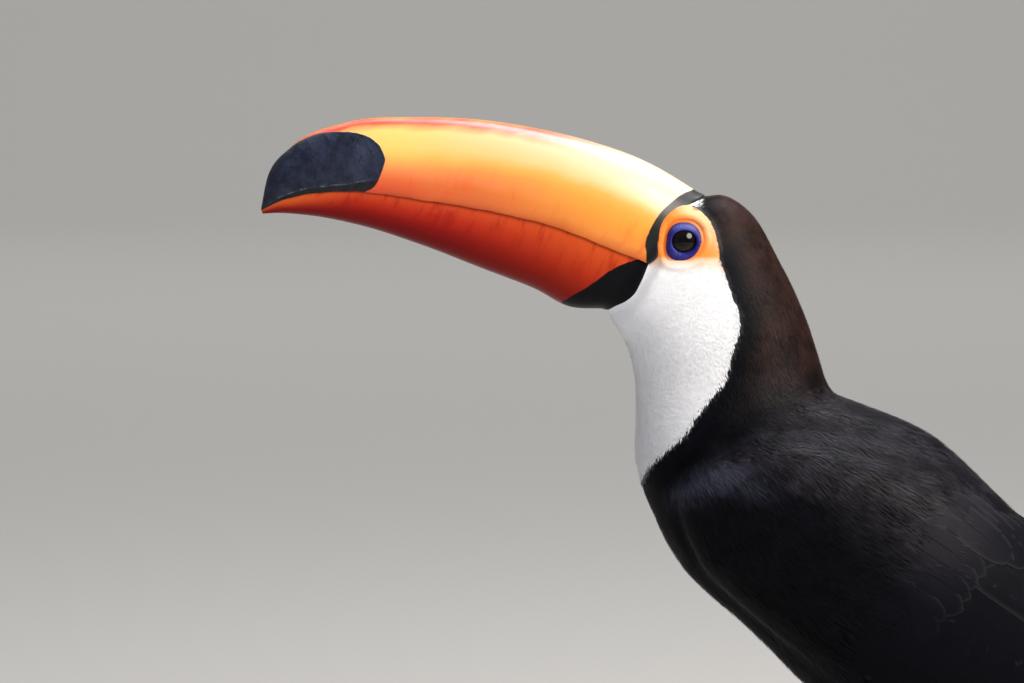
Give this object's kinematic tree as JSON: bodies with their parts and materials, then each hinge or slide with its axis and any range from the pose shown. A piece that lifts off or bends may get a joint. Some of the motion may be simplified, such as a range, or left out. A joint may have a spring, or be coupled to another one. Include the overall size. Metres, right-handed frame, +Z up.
{
  "type": "toco toucan",
  "caption": "Life-size still model of a toco toucan, standing with its head held level and its bill forwards.",
  "frame": {"origin": "on the floor, under the middle of the model's box", "axes": "+Z up; the bird faces -X, and its left side is towards -Y"},
  "size_m": [0.5092, 0.112, 0.3389],
  "materials": {
    "black_feathers": "soft black plumage with a faint blue gloss, white over the tail's root and red under it",
    "crown_feathers": "short dark brown-black feathers, with bare orange skin round the eye and a blue-violet ring",
    "throat_feathers": "dense white feathers in front, black behind",
    "upper_bill_horn": "smooth glossy horn, yellow-orange above, redder towards the mouth, black at the tip",
    "lower_bill_horn": "smooth glossy horn, deep red-orange, black at its root",
    "wet_eye": "wet dark eye",
    "leg_scales": "blue-grey scaled skin",
    "claw_horn": "dark satin horn"
  },
  "bodies": {
    "root": {"bill_lower": "lower_bill_horn", "bill_upper": "upper_bill_horn", "claw_left_inner_front": "claw_horn", "claw_left_inner_hind": "claw_horn", "claw_left_outer_front": "claw_horn", "claw_left_outer_hind": "claw_horn", "claw_right_inner_front": "claw_horn", "claw_right_inner_hind": "claw_horn", "claw_right_outer_front": "claw_horn", "claw_right_outer_hind": "claw_horn", "eye_left": "wet_eye", "eye_right": "wet_eye", "head": "crown_feathers", "leg_left": "leg_scales", "leg_right": "leg_scales", "neck": "throat_feathers", "tail": "black_feathers", "thigh_left": "black_feathers", "thigh_right": "black_feathers", "trunk": "black_feathers", "wing_left": "black_feathers", "wing_right": "black_feathers"}
  },
  "joints": []
}
